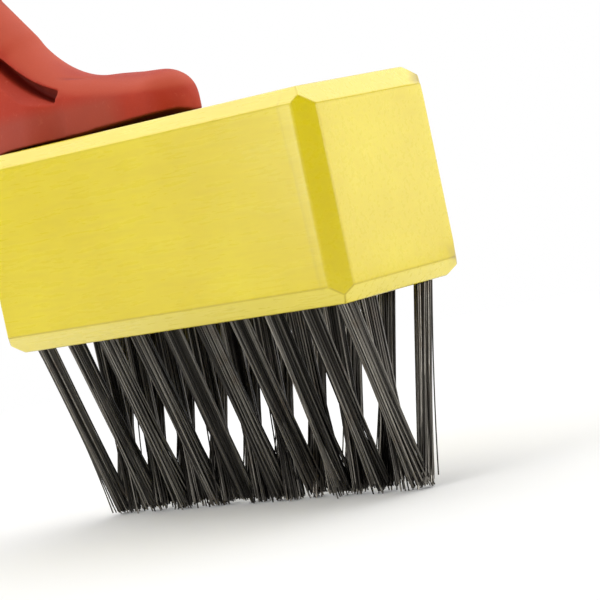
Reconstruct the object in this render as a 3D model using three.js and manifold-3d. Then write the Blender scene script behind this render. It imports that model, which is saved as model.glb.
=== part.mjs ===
// A wire scraper brush head for a plug-in handle: a chamfered wooden block, three rows of steel wire
// tufts whose outer rows lean in to one narrow working line, and a moulded bracket with a neck.
// Millimetres, +Z up. +X runs along the block, from the end that the neck leans out over to the bare
// end, and -Y faces the front row of tufts. The origin is under the middle of the whole brush head, on
// the plane of the wire tips.
import * as THREE from 'three';
import { mergeVertices } from 'three/addons/utils/BufferGeometryUtils.js';
import Module from 'manifold-3d';

const wasm = await Module();
wasm.setup();

// Fits
const seatGap = 0.3; // between pieces that seat on or in each other
const cutMargin = 1; // how far a cutting tool runs past the face it cuts

// Block
const blockLength = 155;
const blockWidth = 59;
const blockHeight = 65;
const blockChamfer = 5.5;

// Wire tufts
const trimLength = 60.5; // from the block's underside to the wire tips
const tuftPitch = 15;
const endMargin = 9; // least distance from a tuft's axis to the end of the block
const rowMargin = 11.5; // from an outer row's axis to the side of the block, at the underside
const holeDiameter = 5;
const holeDepth = 22;
const wireThickness = 0.45;
const wireColumnPitch = 1.1; // along the row, at the underside
const wireLayerPitch = 1.3; // across the row, at the underside
const tipSpread = 1.3; // how much wider a tuft is at its tips
const backingThickness = 2; // the slice of wood that holds a row's tufts together
const backingBorder = 1; // wood left beside a hole in that slice

// Flat wire anchors
const anchorThickness = 0.8;
const anchorHeight = 2.6;
const anchorBite = 0.7; // how far each end is driven into the wall of the hole
const tuftCrown = 2; // wire that is folded over the anchor

// Bracket foot
const footHeight = 18; // above the block, where the neck begins to rise
const footSlope = 4.5; // degrees that the foot's top falls towards the toe
const toeRadius = 11;
const toeCentre = -7;
const toeNose = 10; // run over which the toe's top rounds down
const footUnderside = 1.2; // rounding along the foot's lower edge
const flareStart = -43;
const flareEnd = -58.5;
const heelEnd = -72;
const heelHalfWidth = 18; // at the block
const heelCorner = 3;
const heelDraft = 8; // degrees that the heel's walls lean in

// Bracket neck
const neckAngle = 47; // degrees above the block's top
const crestRadius = 51; // sweep from the foot's top up into the neck
const crestStart = -28.7;
const neckLength = 40; // straight stretch after the sweep
const neckThickness = 27;
const neckShoulder = 0.45; // how far the straight neck swells out of the sweep
const shoulderRun = 6;
const neckHalfWidth = 10;
const crestRounding = 8; // height of the rounded top of the foot and neck
const collarLength = 7;
const collarLip = 1.6; // how far the collar stands proud of the neck

// Side pockets of the neck
const pocketStart = 15; // along the crest's sweep
const pocketEndWall = 6; // left solid below the collar
const beamRootThickness = 4.3;
const beamEndThickness = 8.8;
const slotWidth = 4;
const slotUndercut = 2; // how much the slot deepens towards the web
const ledgeSlope = 22; // degrees that the ledge falls away from the slot
const webThickness = 3;

// Handle tang
const tangLength = 48;
const tangRootWidth = 18;
const tangRootThickness = 15;
const tangTaper = 0.8; // the tip's size as a share of the root's
const tangChamfer = 3;
const catchDistance = 20; // from the collar to the catch's steep face
const catchLength = 9;
const catchHeight = 2.4;
const catchWidth = 9;

// Wood screws, driven up through the block into the bracket's heel
const screwLength = 60;
const screwShank = 4.5;
const screwHead = 7;
const screwHeadHeight = 3;
const screwPoint = 6;
const screwSink = 20; // from the block's underside up to the head
const screwAlong = -66;
const screwAside = 9; // between the tuft rows

// Fineness of round shapes
const holeSides = 10;
const screwSides = 16;
const crestSteps = 10;
const cornerSteps = 2;
const sweepSteps = 9;
const pocketSteps = 8;

// What follows from the sizes above
const blockTop = trimLength + blockHeight;
const outerCount = Math.floor((blockLength - 2 * endMargin) / tuftPitch) + 1;
const rowOffset = blockWidth / 2 - rowMargin;
const holeRadius = holeDiameter / 2;
const outerLean = Math.atan2(rowOffset, trimLength);
const footTilt = THREE.MathUtils.degToRad(footSlope);
const neckTilt = THREE.MathUtils.degToRad(neckAngle);

const paint = {
  wood: { color: 0xe6d43c, roughness: 0.55, metalness: 0 },
  plastic: { color: 0xbf3a2b, roughness: 0.5, metalness: 0 },
  wire: { color: 0x2c2a28, roughness: 0.45, metalness: 0.85 },
  zinc: { color: 0xb4b6b4, roughness: 0.4, metalness: 0.9 },
};

// Solids

// A closed three.js geometry as a solid that can be joined and cut.
function solidOf(geometry) {
  const loose = geometry.index ? geometry.toNonIndexed() : geometry;
  const bare = new THREE.BufferGeometry().setAttribute('position', loose.getAttribute('position'));
  const merged = mergeVertices(bare, 1e-4);
  const corners = [];
  for (let i = 0; i < merged.index.count; i += 3) {
    const [a, b, c] = merged.index.array.slice(i, i + 3);
    if (a !== b && b !== c && c !== a) corners.push(a, b, c);
  }
  return new wasm.Manifold(new wasm.Mesh({
    numProp: 3,
    vertProperties: merged.attributes.position.array,
    triVerts: new Uint32Array(corners),
  }));
}

function geometryOf(solid) {
  const mesh = solid.getMesh();
  return new THREE.BufferGeometry()
    .setAttribute('position', new THREE.BufferAttribute(mesh.vertProperties, 3))
    .setIndex(new THREE.BufferAttribute(mesh.triVerts, 1));
}

const join = (solids) => solids.reduce((whole, next) => whole.add(next));
const cutAll = (body, tools) => tools.reduce((left, tool) => left.subtract(tool), body);

// A box between two opposite corners.
function boxSolid(low, high) {
  const size = new THREE.Vector3().subVectors(high, low);
  const middle = new THREE.Vector3().addVectors(low, high).multiplyScalar(0.5);
  const box = new THREE.BoxGeometry(size.x, size.y, size.z).translate(middle.x, middle.y, middle.z);
  return solidOf(box);
}

// An upright round bar from one height to another.
function barGeometry(radius, bottom, top, sides) {
  const bar = new THREE.CylinderGeometry(radius, radius, top - bottom, sides).rotateX(Math.PI / 2);
  return bar.translate(0, 0, (top + bottom) / 2);
}

// A closed skin through convex rings of the same number of points.
function loft(rings) {
  const count = rings[0].length;
  const points = rings.flat();
  const faces = [];
  for (let r = 0; r + 1 < rings.length; r += 1) {
    for (let k = 0; k < count; k += 1) {
      const a = r * count + k;
      const b = r * count + ((k + 1) % count);
      faces.push(a, b, b + count, a, b + count, a + count);
    }
  }
  const last = (rings.length - 1) * count;
  for (let k = 1; k + 1 < count; k += 1) {
    faces.push(0, k + 1, k, last, last + k, last + k + 1);
  }
  const geometry = new THREE.BufferGeometry().setFromPoints(points).setIndex(faces);
  const solid = solidOf(geometry);
  return solid.volume() > 0 ? solid : solidOf(geometry.setIndex(faces.reverse()));
}

// Points of an arch-topped section, anticlockwise: x is sideways and y is up from its crown.
function archSection(halfWidth, height, crown, underside) {
  const points = [];
  for (let step = 0; step <= crestSteps; step += 1) {
    const turn = (step / crestSteps) * Math.PI;
    points.push(new THREE.Vector2(halfWidth * Math.cos(turn), crown * (Math.sin(turn) - 1)));
  }
  const radius = Math.min(underside, halfWidth / 2);
  for (const side of [-1, 1]) {
    for (let step = 0; step <= cornerSteps; step += 1) {
      const turn = ((side < 0 ? step : cornerSteps - step) / cornerSteps) * (Math.PI / 2);
      const inset = radius * (1 - Math.cos(turn));
      points.push(new THREE.Vector2(side * (halfWidth - inset), radius * (1 - Math.sin(turn)) - height));
    }
  }
  return points;
}

// Block

// The block's outline with every edge chamfered: three crossed prisms that share the same body.
function chamferedBlock() {
  const octagonPrism = (width, height, length) => {
    const [w, h] = [width / 2, height / 2];
    const shape = new THREE.Shape();
    shape.moveTo(w, h - blockChamfer).lineTo(w - blockChamfer, h).lineTo(blockChamfer - w, h);
    shape.lineTo(-w, h - blockChamfer).lineTo(-w, blockChamfer - h).lineTo(blockChamfer - w, -h);
    shape.lineTo(w - blockChamfer, -h).lineTo(w, blockChamfer - h).closePath();
    const prism = new THREE.ExtrudeGeometry(shape, { depth: length, bevelEnabled: false });
    return prism.translate(0, 0, -length / 2);
  };
  const upright = octagonPrism(blockLength, blockWidth, blockHeight);
  const lengthwise = octagonPrism(blockHeight, blockWidth, blockLength).rotateY(Math.PI / 2);
  const crosswise = octagonPrism(blockLength, blockHeight, blockWidth).rotateX(Math.PI / 2);
  const body = solidOf(upright).intersect(solidOf(lengthwise)).intersect(solidOf(crosswise));
  return body.translate([0, 0, trimLength + blockHeight / 2]);
}

// Wire tufts

// The three rows: where each crosses the underside, how far it leans, and where its tufts stand.
const rows = [
  { name: 'front', y: -rowOffset, lean: outerLean, count: outerCount, shift: 0 },
  { name: 'middle', y: 0, lean: 0, count: outerCount - 1, shift: 0 },
  { name: 'back', y: rowOffset, lean: -outerLean, count: outerCount, shift: 0.5 },
].map((row) => ({
  ...row,
  stations: Array.from({ length: row.count }, (_, i) => (i - (row.count - 1) / 2) * tuftPitch),
}));

// Turns and moves a solid from a tuft's own frame, whose +Z runs up into its hole.
function atTuft(geometry, row, x) {
  return solidOf(geometry.rotateX(row.lean).translate(x, row.y, trimLength));
}

// Places of one tuft's wires in its cross-section. The back row's columns stand half a pitch
// aside, so that the wires of the two outer rows pass between each other at the tips.
function wirePlaces(row) {
  const widest = Math.floor((holeRadius - wireThickness / 2) / wireColumnPitch - row.shift);
  const places = [];
  for (let column = -widest - 2 * row.shift; column <= widest; column += 1) {
    const x = (column + row.shift) * wireColumnPitch;
    const reach = Math.sqrt(Math.max(0, (holeRadius - wireThickness / 2) ** 2 - x ** 2));
    const layers = Math.floor((2 * reach) / wireLayerPitch) + 1;
    for (let layer = 0; layer < layers; layer += 1) {
      places.push(new THREE.Vector2(x, (layer - (layers - 1) / 2) * wireLayerPitch));
    }
  }
  return places;
}

// One straight wire from inside the backing to its tip, with level ends.
function wireSolid(root, tip) {
  const wire = new THREE.BoxGeometry(wireThickness, wireThickness, 1);
  const run = new THREE.Vector3().subVectors(root, tip);
  const skew = new THREE.Matrix4().makeBasis(
    new THREE.Vector3(1, 0, 0),
    new THREE.Vector3(0, 1, 0),
    run,
  );
  skew.setPosition(new THREE.Vector3().addVectors(root, tip).multiplyScalar(0.5));
  return solidOf(wire.applyMatrix4(skew));
}

const backingHalfWidth = holeRadius / Math.cos(outerLean) + backingBorder;
const backingReach = (row) => row.stations[row.count - 1] + backingHalfWidth;

// A slice of the underside under one row, or the groove that takes it.
function backingSolid(row, gap) {
  const low = new THREE.Vector3(-backingReach(row) - gap, row.y - backingHalfWidth - gap, trimLength);
  const high = new THREE.Vector3(
    backingReach(row) + gap,
    row.y + backingHalfWidth + gap,
    trimLength + backingThickness + gap,
  );
  if (gap > 0) low.z -= cutMargin;
  return boxSolid(low, high);
}

// The packed wires inside a hole, folded over the anchor that passes through their eye.
const rootRadius = holeRadius - seatGap;
const anchorTop = holeDepth - seatGap - tuftCrown;
function rootSolid(row, x) {
  const root = barGeometry(rootRadius, backingThickness / 2, holeDepth - seatGap, holeSides);
  const eyeHeight = anchorHeight + 2 * seatGap;
  const eye = new THREE.BoxGeometry(holeDiameter + cutMargin, anchorThickness + 2 * seatGap, eyeHeight);
  eye.translate(0, 0, anchorTop - eyeHeight / 2);
  return atTuft(root, row, x).subtract(atTuft(eye, row, x));
}

function rowSolid(row) {
  const places = wirePlaces(row);
  const wires = row.stations.flatMap((x) => places.map((place) => {
    const root = new THREE.Vector3(x + place.x, row.y + place.y, trimLength);
    const tip = new THREE.Vector3(x + place.x * tipSpread, place.y * tipSpread, 0);
    const sunk = root.clone().lerp(tip, -backingThickness / 4 / trimLength);
    return wireSolid(sunk, tip);
  }));
  const roots = row.stations.map((x) => rootSolid(row, x));
  return join([backingSolid(row, 0), ...roots, ...wires]);
}

// Anchors

const anchorLength = holeDiameter + 2 * anchorBite;
function anchorGeometry(gap) {
  const box = new THREE.BoxGeometry(
    anchorLength + 2 * gap,
    anchorThickness + 2 * gap,
    anchorHeight + 2 * gap,
  );
  return box.translate(0, 0, anchorTop - seatGap - anchorHeight / 2);
}

// A drilled hole with the two nicks that its anchor is driven into.
function holeTools(row, x) {
  const drill = barGeometry(holeRadius, -rowOffset, holeDepth, holeSides);
  return [atTuft(drill, row, x), atTuft(anchorGeometry(seatGap), row, x)];
}

// Bracket

// The bracket's side view has x along the block and y up from the block's top.
const sidePoint = (x, y) => new THREE.Vector2(x, y);
const sweepLength = crestRadius * (neckTilt - footTilt);
const neckRun = sweepLength + neckLength;
const sweepCentre = sidePoint(crestStart, footHeight).add(
  sidePoint(Math.sin(footTilt), Math.cos(footTilt)).multiplyScalar(crestRadius),
);

// A point of the crest, a distance along its sweep and the straight neck, and the way out of it there.
function crestAt(along) {
  const turn = Math.min(footTilt + along / crestRadius, neckTilt);
  const straight = Math.max(0, along - sweepLength);
  const out = sidePoint(Math.sin(turn), Math.cos(turn));
  const onward = sidePoint(-Math.cos(turn), Math.sin(turn));
  const point = sweepCentre.clone().addScaledVector(out, -crestRadius).addScaledVector(onward, straight);
  return { point, out };
}

// A ring across the neck from places that are sideways and out of the crest.
function ringAcross(along, places) {
  const { point, out } = crestAt(along);
  return places.map(({ x: sideways, y: outward }) => {
    const at = point.clone().addScaledVector(out, outward);
    return new THREE.Vector3(at.x, sideways, blockTop + at.y);
  });
}

// A ring of four corners across the neck, from one side to the other and between two heights.
function bandAcross(along, [left, right], [leftLow, rightLow], [leftHigh, rightHigh]) {
  return ringAcross(along, [
    sidePoint(right, rightHigh),
    sidePoint(left, leftHigh),
    sidePoint(left, leftLow),
    sidePoint(right, rightLow),
  ]);
}

// An upright ring across the foot.
function footRing(x) {
  const past = Math.max(0, x - toeCentre);
  const halfWidth = THREE.MathUtils.lerp(
    Math.sqrt(toeRadius ** 2 - past ** 2),
    neckHalfWidth,
    Math.max(0, (toeCentre - x) / (toeCentre - crestStart)),
  );
  const noseRun = Math.max(0, x - (toeCentre + toeRadius - toeNose));
  const nose = toeNose - Math.sqrt(toeNose ** 2 - noseRun ** 2);
  const height = footHeight - (x - crestStart) * Math.tan(footTilt) - nose;
  const section = archSection(halfWidth, height, crestRounding, footUnderside);
  return section.map((place) => new THREE.Vector3(x, place.x, blockTop + height + place.y));
}

// A ring round the neck, swollen all round by a lip.
function neckRing(along, thickness, lip) {
  const section = archSection(
    neckHalfWidth + lip,
    thickness + 2 * lip,
    crestRounding + lip,
    footUnderside + lip,
  );
  return ringAcross(along, section.map((place) => sidePoint(place.x, place.y + lip)));
}

// The foot and the neck in one: arched sections from the round toe, up the sweep to the collar.
function spineSolid() {
  const toeTurns = [0.3, 0.55, 0.8, 1.05, 1.3, Math.PI / 2];
  const toeRings = toeTurns.map((turn) => footRing(toeCentre + toeRadius * Math.cos(turn)));
  const sweepRings = Array.from({ length: sweepSteps }, (_, i) => {
    const share = i / (sweepSteps - 1);
    const thickness = THREE.MathUtils.lerp(footHeight, neckThickness, share);
    return neckRing(share * sweepLength, thickness, 0);
  });
  const neckRings = [sweepLength + shoulderRun, neckRun].map((along) => (
    neckRing(along, neckThickness, neckShoulder)
  ));
  return loft([...toeRings, ...sweepRings, ...neckRings]);
}

const beamAt = (along) => THREE.MathUtils.lerp(beamRootThickness, beamEndThickness, along / neckRun);
const outside = heelHalfWidth + heelCorner;

// Stations along the neck's pockets, and the same run begun earlier for the heel's upper limit.
function pocketStations(from) {
  const until = neckRun - 2 * collarLength - pocketEndWall;
  return Array.from({ length: pocketSteps }, (_, i) => (
    THREE.MathUtils.lerp(from, until, i / (pocketSteps - 1))
  ));
}

// The heel that spreads out of the foot on both sides, kept below the crest's beam.
function heelSolid() {
  const half = heelHalfWidth;
  const bend = (flareStart + flareEnd) / 2;
  const plan = new THREE.Shape();
  plan.moveTo(flareStart, -neckHalfWidth).lineTo(flareStart, neckHalfWidth);
  plan.bezierCurveTo(bend, neckHalfWidth, bend, half, flareEnd, half);
  plan.quadraticCurveTo(heelEnd, half, heelEnd, half - heelCorner).lineTo(heelEnd, heelCorner - half);
  plan.quadraticCurveTo(heelEnd, -half, flareEnd, -half);
  plan.bezierCurveTo(bend, -half, bend, -neckHalfWidth, flareStart, -neckHalfWidth);
  const depth = 2 * footHeight;
  const prism = new THREE.ExtrudeGeometry(plan, { depth, bevelEnabled: false, curveSegments: 6 });
  const spread = half - neckHalfWidth;
  const taper = 1 - (depth * Math.tan(THREE.MathUtils.degToRad(heelDraft))) / spread;
  const places = prism.getAttribute('position');
  for (let i = 0; i < places.count; i += 1) {
    const y = places.getY(i);
    const leaned = neckHalfWidth + (Math.abs(y) - neckHalfWidth) * taper;
    if (places.getZ(i) > 0) places.setY(i, Math.sign(y) * leaned);
  }
  const above = loft(pocketStations(0).map((along) => {
    const low = -beamAt(along) - slotWidth / 2;
    return bandAcross(along, [-outside, outside], [low, low], [depth, depth]);
  }));
  return solidOf(prism.translate(0, 0, blockTop)).subtract(above);
}

// The undercut beside the neck, on one side: a deep slot under the crest's beam, and outside the slot
// a ledge that falls away to the heel's wall.
function pocketSolid(side) {
  const mouth = neckHalfWidth - seatGap;
  const fall = (outside - mouth) * Math.tan(THREE.MathUtils.degToRad(ledgeSlope));
  const band = (inner, outer, innerDrop, outerDrop) => loft(pocketStations(pocketStart).map((along) => {
    const roof = -beamAt(along);
    const floor = roof - slotWidth;
    const low = [floor - innerDrop, floor - outerDrop];
    return bandAcross(along, [side * inner, side * outer], low, [roof, roof]);
  }));
  const slot = band(webThickness / 2, neckHalfWidth, slotUndercut, 0);
  const ledge = band(mouth, outside, 0, fall);
  return slot.add(ledge);
}

// The shoulder that the handle's mouth stops against.
function collarSolid() {
  return loft([
    neckRing(neckRun - 2 * collarLength, neckThickness, 0),
    neckRing(neckRun - collarLength, neckThickness, neckShoulder + collarLip),
    neckRing(neckRun, neckThickness, neckShoulder + collarLip),
  ]);
}

// A ring round the handle tang, a distance from the collar, at a share of its size at the collar.
function tangRing(distance, share) {
  const [w, t, cut] = [tangRootWidth / 2, tangRootThickness / 2, tangChamfer].map((size) => size * share);
  const corners = [
    [w, t - cut], [w - cut, t], [cut - w, t], [-w, t - cut],
    [-w, cut - t], [cut - w, -t], [w - cut, -t], [w, cut - t],
  ];
  const middle = -neckThickness / 2;
  return ringAcross(neckRun + distance, corners.map(([x, y]) => sidePoint(x, middle + y)));
}

function tangSolid() {
  return loft([
    tangRing(-collarLength / 2, 1),
    tangRing(0, 1),
    tangRing(tangLength - tangChamfer, tangTaper),
    tangRing(tangLength, tangTaper * tangTaper),
  ]);
}

// The sloping catch on the tang that a handle's latch drops behind.
function catchSolid() {
  const ring = (distance, height) => {
    const share = THREE.MathUtils.lerp(1, tangTaper, distance / tangLength);
    const face = (tangRootThickness * share - neckThickness) / 2;
    const [low, high] = [face - tangChamfer, face + height];
    return bandAcross(neckRun + distance, [-catchWidth / 2, catchWidth / 2], [low, low], [high, high]);
  };
  return loft([ring(catchDistance, catchHeight), ring(catchDistance + catchLength, 0)]);
}

// Screws

const screwPlaces = [
  { name: 'front_screw', y: -screwAside },
  { name: 'back_screw', y: screwAside },
];
const screwBottom = trimLength + screwSink;

// A screw with its point up, or the hole for it when there is a gap round it.
function screwSolid(y, gap) {
  const [shank, head] = [screwShank / 2 + gap, screwHead / 2 + gap];
  const seat = screwBottom + screwHeadHeight + gap;
  const tip = screwBottom + screwLength + gap;
  const profile = [
    new THREE.Vector2(0, screwBottom),
    new THREE.Vector2(head, screwBottom),
    new THREE.Vector2(head, seat),
    new THREE.Vector2(shank, seat),
    new THREE.Vector2(shank, tip - screwPoint),
    new THREE.Vector2(0, tip),
  ];
  const turned = new THREE.LatheGeometry(profile, screwSides).rotateX(Math.PI / 2);
  return solidOf(turned).translate([screwAlong, y, 0]);
}

// The hole through the block for a screw, with the deep counterbore that its head goes up.
function screwPassage(y) {
  const counterbore = barGeometry(
    screwHead / 2 + seatGap,
    trimLength - cutMargin,
    screwBottom + screwHeadHeight / 2,
    screwSides,
  );
  return solidOf(counterbore).translate([screwAlong, y, 0]).add(screwSolid(y, seatGap));
}

function bracketSolid() {
  const body = join([spineSolid(), heelSolid(), collarSolid(), tangSolid(), catchSolid()]);
  const reach = blockLength + tangLength;
  const below = boxSolid(
    new THREE.Vector3(-reach, -reach, blockTop - reach),
    new THREE.Vector3(reach, reach, blockTop),
  );
  const pilots = screwPlaces.map(({ y }) => screwSolid(y, seatGap));
  return cutAll(body, [below, pocketSolid(1), pocketSolid(-1), ...pilots]);
}

// Assembly

const brush = new THREE.Group();

function addPiece(name, solid, finish) {
  const mesh = new THREE.Mesh(geometryOf(solid), new THREE.MeshStandardMaterial(finish));
  mesh.name = name;
  brush.add(mesh);
}

const drilled = rows.flatMap((row) => [
  backingSolid(row, seatGap),
  ...row.stations.flatMap((x) => holeTools(row, x)),
]);
const passages = screwPlaces.map(({ y }) => screwPassage(y));
addPiece('block', cutAll(chamferedBlock(), [...drilled, ...passages]), paint.wood);
addPiece('handle_bracket', bracketSolid(), paint.plastic);
screwPlaces.forEach(({ name, y }) => addPiece(name, screwSolid(y, 0), paint.zinc));
rows.forEach((row) => {
  addPiece(`${row.name}_tufts`, rowSolid(row), paint.wire);
  row.stations.forEach((x, i) => {
    const number = String(i + 1).padStart(2, '0');
    addPiece(`${row.name}_anchor_${number}`, atTuft(anchorGeometry(0), row, x), paint.zinc);
  });
});

// The pieces are laid out from the block's middle and then moved to the middle of the whole head.
const middle = new THREE.Box3().setFromObject(brush).getCenter(new THREE.Vector3());
brush.children.forEach((piece) => piece.geometry.translate(-middle.x, -middle.y, 0));

export default brush;
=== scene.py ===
import math
import random

import bmesh
import bpy
import numpy as np
from mathutils import Matrix, Vector, noise


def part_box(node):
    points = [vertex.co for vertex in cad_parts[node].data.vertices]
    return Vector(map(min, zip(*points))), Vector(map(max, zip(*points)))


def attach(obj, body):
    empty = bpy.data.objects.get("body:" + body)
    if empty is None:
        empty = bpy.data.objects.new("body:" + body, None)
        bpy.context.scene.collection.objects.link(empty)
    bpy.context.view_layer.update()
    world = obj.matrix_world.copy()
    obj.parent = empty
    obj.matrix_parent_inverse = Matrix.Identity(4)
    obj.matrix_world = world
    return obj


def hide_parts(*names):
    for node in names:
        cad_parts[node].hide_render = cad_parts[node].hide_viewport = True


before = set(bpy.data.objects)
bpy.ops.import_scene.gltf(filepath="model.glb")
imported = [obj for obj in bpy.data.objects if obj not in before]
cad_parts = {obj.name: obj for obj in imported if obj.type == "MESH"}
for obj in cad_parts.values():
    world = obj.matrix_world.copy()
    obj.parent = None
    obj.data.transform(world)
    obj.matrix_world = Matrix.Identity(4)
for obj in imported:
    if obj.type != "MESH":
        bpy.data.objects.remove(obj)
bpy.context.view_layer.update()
scene = bpy.context.scene
scene.view_settings.view_transform = "Standard"
mm = 0.001

# Everything is laid out from the CAD block, in metres in the row frame
blockLow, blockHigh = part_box("block")
blockMiddle = (blockLow.x + blockHigh.x) / 2
underside = blockLow.z
blockTop = blockHigh.z


# Mesh helpers

def addObject(name, data):
    holder = bpy.data.objects.new(name, data)
    scene.collection.objects.link(holder)
    return holder


def newPiece(name, points, faces):
    mesh = bpy.data.meshes.new(name)
    mesh.from_pydata([tuple(p) for p in points], [], faces)
    return addObject(name, mesh)


def pieceFrom(name, bm):
    mesh = bpy.data.meshes.new(name)
    bm.to_mesh(mesh)
    bm.free()
    return addObject(name, mesh)


# A closed skin through rings that all have the same number of points
def loft(name, rings):
    count = len(rings[0])
    faces = []
    for start in range(0, (len(rings) - 1) * count, count):
        for k in range(count):
            a, b = start + k, start + (k + 1) % count
            faces.append((a, b, b + count, a + count))
    last = (len(rings) - 1) * count
    faces.append(tuple(range(count)))
    faces.append(tuple(range(last, last + count)))
    piece = newPiece(name, [p for ring in rings for p in ring], faces)
    bm = bmesh.new()
    bm.from_mesh(piece.data)
    bmesh.ops.recalc_face_normals(bm, faces=bm.faces[:])
    bm.to_mesh(piece.data)
    bm.free()
    return piece


# An upright round bar whose radius changes at given heights, all in millimetres from its foot
def steppedBar(name, foot, steps, sides=32):
    turns = np.linspace(0, math.tau, sides, endpoint=False)
    return loft(name, [
        [foot + Vector((radius * math.cos(t), radius * math.sin(t), height)) * mm for t in turns]
        for radius, height in steps
    ])


# The modifiers on a piece become its mesh
def settle(piece):
    depsgraph = bpy.context.evaluated_depsgraph_get()
    shaped = bpy.data.meshes.new_from_object(piece.evaluated_get(depsgraph))
    plain = piece.data
    piece.modifiers.clear()
    piece.data = shaped
    bpy.data.meshes.remove(plain)


def combine(piece, tool, operation):
    change = piece.modifiers.new("combine", "BOOLEAN")
    change.operation = operation
    change.solver = "EXACT"
    change.object = tool
    settle(piece)
    bpy.data.objects.remove(tool)


def readPoints(piece):
    points = np.zeros(len(piece.data.vertices) * 3)
    piece.data.vertices.foreach_get("co", points)
    return points.reshape(-1, 3)


def writePoints(piece, points):
    piece.data.vertices.foreach_set("co", points.ravel())
    piece.data.update()


def setMask(piece, name, values):
    mask = piece.data.attributes.new(name, "FLOAT", "POINT")
    mask.data.foreach_set("value", np.asarray(values, np.float32))


# 0 up to the first value, 1 from the second on, straight in between
def ramp(values, first, second):
    return np.clip((values - first) / (second - first), 0, 1)


# 1 at the middle, falling away smoothly over the width
def bell(values, middle, width):
    return np.exp(-((values - middle) / width) ** 2)


# Smooth shading that stays crisp at edges sharper than the angle
def shadeSmooth(piece, degrees):
    piece.data.shade_smooth()
    piece.data.set_sharp_from_angle(angle=math.radians(degrees))


# Node helpers

def addNode(tree, kind, inputs=None, **settings):
    node = tree.nodes.new("ShaderNode" + kind)
    for key, value in settings.items():
        setattr(node, key, value)
    for key, value in (inputs or {}).items():
        if isinstance(value, bpy.types.NodeSocket):
            tree.links.new(value, node.inputs[key])
        else:
            node.inputs[key].default_value = value
    return node


def mixColor(tree, factor, first, second):
    node = addNode(tree, "Mix", data_type="RGBA")
    # the factor and both colours, by their places on the node
    for number, value in ((0, factor), (6, first), (7, second)):
        socket = node.inputs[number]
        if isinstance(value, bpy.types.NodeSocket):
            tree.links.new(value, socket)
        else:
            socket.default_value = value if socket.type != "RGBA" else (*value, 1)
    return node.outputs[2]


def mathNode(tree, operation, first, second=0.0):
    return addNode(tree, "Math", {0: first, 1: second}, operation=operation).outputs[0]


def times(tree, first, second):
    return mathNode(tree, "MULTIPLY", first, second)


def remap(tree, value, fromLow, fromHigh, toLow=0.0, toHigh=1.0):
    limits = {"From Min": fromLow, "From Max": fromHigh, "To Min": toLow, "To Max": toHigh}
    return addNode(tree, "MapRange", {"Value": value, **limits}).outputs["Result"]


def readMask(tree, name):
    return addNode(tree, "Attribute", attribute_name=name).outputs["Fac"]


def newMaterial(name):
    material = bpy.data.materials.new(name)
    material.use_nodes = True
    return material, material.node_tree, material.node_tree.nodes["Principled BSDF"]


# Uneven tone, fine grain and thin scuffs, shared by paint, plastic and steel
def buildUnevenness():
    group = bpy.data.node_groups.new("unevenness", "ShaderNodeTree")
    sockets = group.interface
    for name, default in (("Patch Scale", 30.0), ("Grain Scale", 900.0), ("Scuff Scale", 200.0)):
        sockets.new_socket(name, in_out="INPUT", socket_type="NodeSocketFloat").default_value = default
    stretch = sockets.new_socket("Stretch", in_out="INPUT", socket_type="NodeSocketVector")
    stretch.default_value = (1, 1, 1)
    for name in ("Patches", "Grain", "Scuffs"):
        sockets.new_socket(name, in_out="OUTPUT", socket_type="NodeSocketFloat")
    entry = group.nodes.new("NodeGroupInput")
    leave = group.nodes.new("NodeGroupOutput")
    place = addNode(group, "TexCoord").outputs["Object"]
    drawn = addNode(group, "VectorMath", {0: place, 1: entry.outputs["Stretch"]}, operation="MULTIPLY")
    patches = addNode(group, "TexNoise", {
        "Vector": place, "Scale": entry.outputs["Patch Scale"], "Detail": 3.0, "Roughness": 0.55,
    })
    grain = addNode(group, "TexNoise", {
        "Vector": drawn.outputs[0], "Scale": entry.outputs["Grain Scale"], "Detail": 4.0, "Roughness": 0.6,
    })
    scuffs = addNode(group, "TexNoise", {
        "Vector": drawn.outputs[0], "Scale": entry.outputs["Scuff Scale"], "Detail": 2.0, "Distortion": 1.4,
    })
    thin = remap(group, scuffs.outputs["Fac"], 0.64, 0.76)   # only the peaks, as thin lines
    group.links.new(patches.outputs["Fac"], leave.inputs["Patches"])
    group.links.new(grain.outputs["Fac"], leave.inputs["Grain"])
    group.links.new(thin, leave.inputs["Scuffs"])
    return group


unevenness = buildUnevenness()


def addUnevenness(tree, scales, stretch=(1.0, 1.0, 1.0)):
    node = tree.nodes.new("ShaderNodeGroup")
    node.node_tree = unevenness
    for name, scale in zip(("Patch Scale", "Grain Scale", "Scuff Scale"), scales):
        node.inputs[name].default_value = scale
    node.inputs["Stretch"].default_value = stretch
    return node.outputs["Patches"], node.outputs["Grain"], node.outputs["Scuffs"]


# Joins a colour, a roughness and a fine relief to a material's shader
def joinUp(tree, shader, color, rough, height, depth):
    bump = addNode(tree, "Bump", {"Height": height, "Strength": 1.0, "Distance": depth})
    for name, value in (("Base Color", color), ("Roughness", rough), ("Normal", bump.outputs["Normal"])):
        tree.links.new(value, shader.inputs[name])


noiseRange = (0.3, 0.7)   # where most values of a noise lie

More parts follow.
